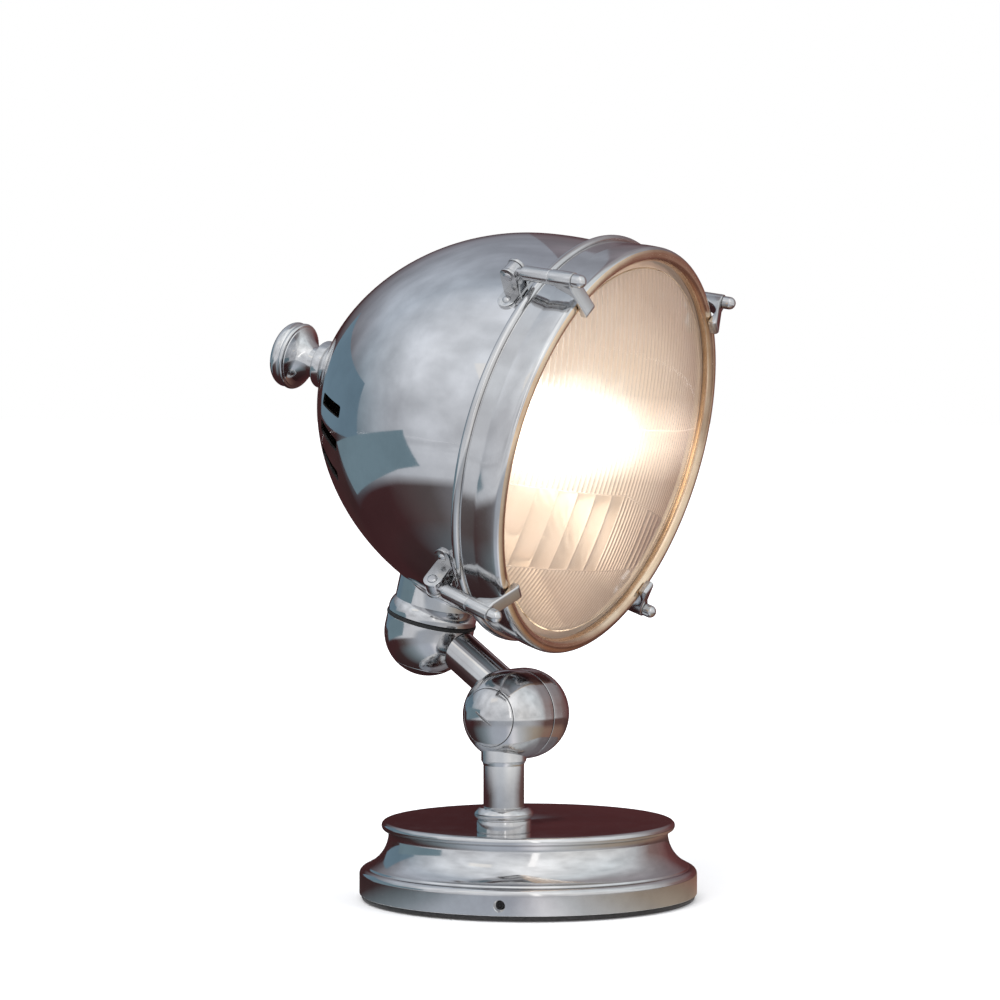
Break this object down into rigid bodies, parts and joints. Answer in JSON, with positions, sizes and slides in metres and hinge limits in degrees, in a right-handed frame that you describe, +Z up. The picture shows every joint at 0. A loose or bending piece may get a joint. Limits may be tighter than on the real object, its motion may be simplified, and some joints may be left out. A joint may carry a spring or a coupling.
{
  "type": "tabletop searchlight lamp",
  "caption": "Searchlight shaped table lamp: domed metal head with a ribbed glass front held by swing clamps, on a jointed arm with ball knuckles and a round stepped foot.",
  "frame": {"origin": "centre of the underside of the round foot, on the table", "axes": "+Z up, +X along the tilt axis of the arm, -Y the way the light faces"},
  "size_m": [0.2901, 0.3149, 0.4648],
  "materials": {
    "polished_metal": "polished, nickel plated, slightly aged",
    "brushed_metal": "satin tube",
    "clamp_metal": "cast and polished, aged",
    "steel": "satin",
    "dark_steel": "blackened",
    "cast_iron": "rough cast",
    "felt": "felt",
    "black_plastic": "matt",
    "black_fibre": "hard fibre",
    "black_rubber": "matt",
    "brass": "dull",
    "mirror_metal": "mirror",
    "lens_glass": "clear pressed glass, warm in the light of the lamp",
    "lamp_glow": "frosted, lit"
  },
  "bodies": {
    "base": {"base_cover": "polished_metal", "base_weight": "cast_iron", "base_plate": "dark_steel", "base_pad": "felt", "cover_screws": "dark_steel", "plate_screws": "steel", "cord_gland": "black_plastic", "post_bush": "polished_metal"},
    "column": {"post_stem": "steel", "post_tube": "brushed_metal", "swivel_washer": "steel", "swivel_nut": "steel", "knuckle_post_half": "polished_metal", "tilt_bolt": "polished_metal", "tilt_cap": "polished_metal", "tilt_washer": "black_fibre"},
    "arm": {"knuckle_arm_half": "polished_metal", "arm_tube": "brushed_metal", "neck_ball": "polished_metal", "yaw_gasket": "black_fibre", "yaw_bolt": "polished_metal", "yaw_nut": "steel"},
    "head": {"head_neck": "polished_metal", "neck_saddle": "steel", "neck_ring_nut": "steel", "head_shell": "polished_metal", "bezel": "polished_metal", "lens_glass": "lens_glass", "lens_seal": "black_rubber", "bezel_seal": "black_rubber", "reflector": "mirror_metal", "bulb_glass": "lamp_glow", "bulb_cap": "brass", "lamp_holder": "black_plastic", "holder_stem": "steel", "switch_body": "black_plastic", "switch_washer": "steel", "rear_collar": "polished_metal", "clamp_brackets": "clamp_metal", "bracket_rivets": "clamp_metal", "hinge_pins": "steel"},
    "knob": {"switch_knob": "polished_metal", "knob_spindle": "steel"},
    "clamp_1": {"swing_bolt_1": "steel", "clamp_sleeve_1": "clamp_metal", "clamp_claw_1": "clamp_metal", "clamp_nut_1": "polished_metal"},
    "clamp_2": {"swing_bolt_2": "steel", "clamp_sleeve_2": "clamp_metal", "clamp_claw_2": "clamp_metal", "clamp_nut_2": "polished_metal"},
    "clamp_3": {"swing_bolt_3": "steel", "clamp_sleeve_3": "clamp_metal", "clamp_claw_3": "clamp_metal", "clamp_nut_3": "polished_metal"},
    "clamp_4": {"swing_bolt_4": "steel", "clamp_sleeve_4": "clamp_metal", "clamp_claw_4": "clamp_metal", "clamp_nut_4": "polished_metal"}
  },
  "joints": [
    {"name": "base_swivel", "type": "hinge", "parent": "base", "child": "column", "pos_m": [-0.064, -0.0224, 0.0548], "axis": [0, 0, 1], "range_deg": [-165, 165]},
    {"name": "arm_tilt", "type": "hinge", "parent": "column", "child": "arm", "pos_m": [-0.0488, -0.0224, 0.1342], "axis": [1, 0, 0], "range_deg": [-30, 55]},
    {"name": "head_yaw", "type": "hinge", "parent": "arm", "child": "head", "pos_m": [-0.0336, 0.05924, 0.19629], "axis": [0, -0.2554, 0.9668], "range_deg": [-150, 150]},
    {"name": "switch_turn", "type": "hinge", "parent": "head", "child": "knob", "pos_m": [-0.0434, 0.1498, 0.37588], "axis": [-0.0732, 0.9642, 0.2548], "range_deg": [0, 90]},
    {"name": "clamp_swing_1", "type": "hinge", "parent": "head", "child": "clamp_1", "pos_m": [-0.12964, -0.07347, 0.43464], "axis": [-0.7469, 0.1162, -0.6546], "range_deg": [0, 100]},
    {"name": "clamp_swing_2", "type": "hinge", "parent": "head", "child": "clamp_2", "pos_m": [-0.14273, -0.01959, 0.22695], "axis": [0.6608, 0.2382, -0.7117], "range_deg": [0, 100]},
    {"name": "clamp_swing_3", "type": "hinge", "parent": "head", "child": "clamp_3", "pos_m": [0.07126, -0.00104, 0.21828], "axis": [0.7469, -0.1162, 0.6546], "range_deg": [0, 100]},
    {"name": "clamp_swing_4", "type": "hinge", "parent": "head", "child": "clamp_4", "pos_m": [0.08434, -0.05492, 0.42596], "axis": [-0.6608, -0.2382, 0.7117], "range_deg": [0, 100]}
  ]
}
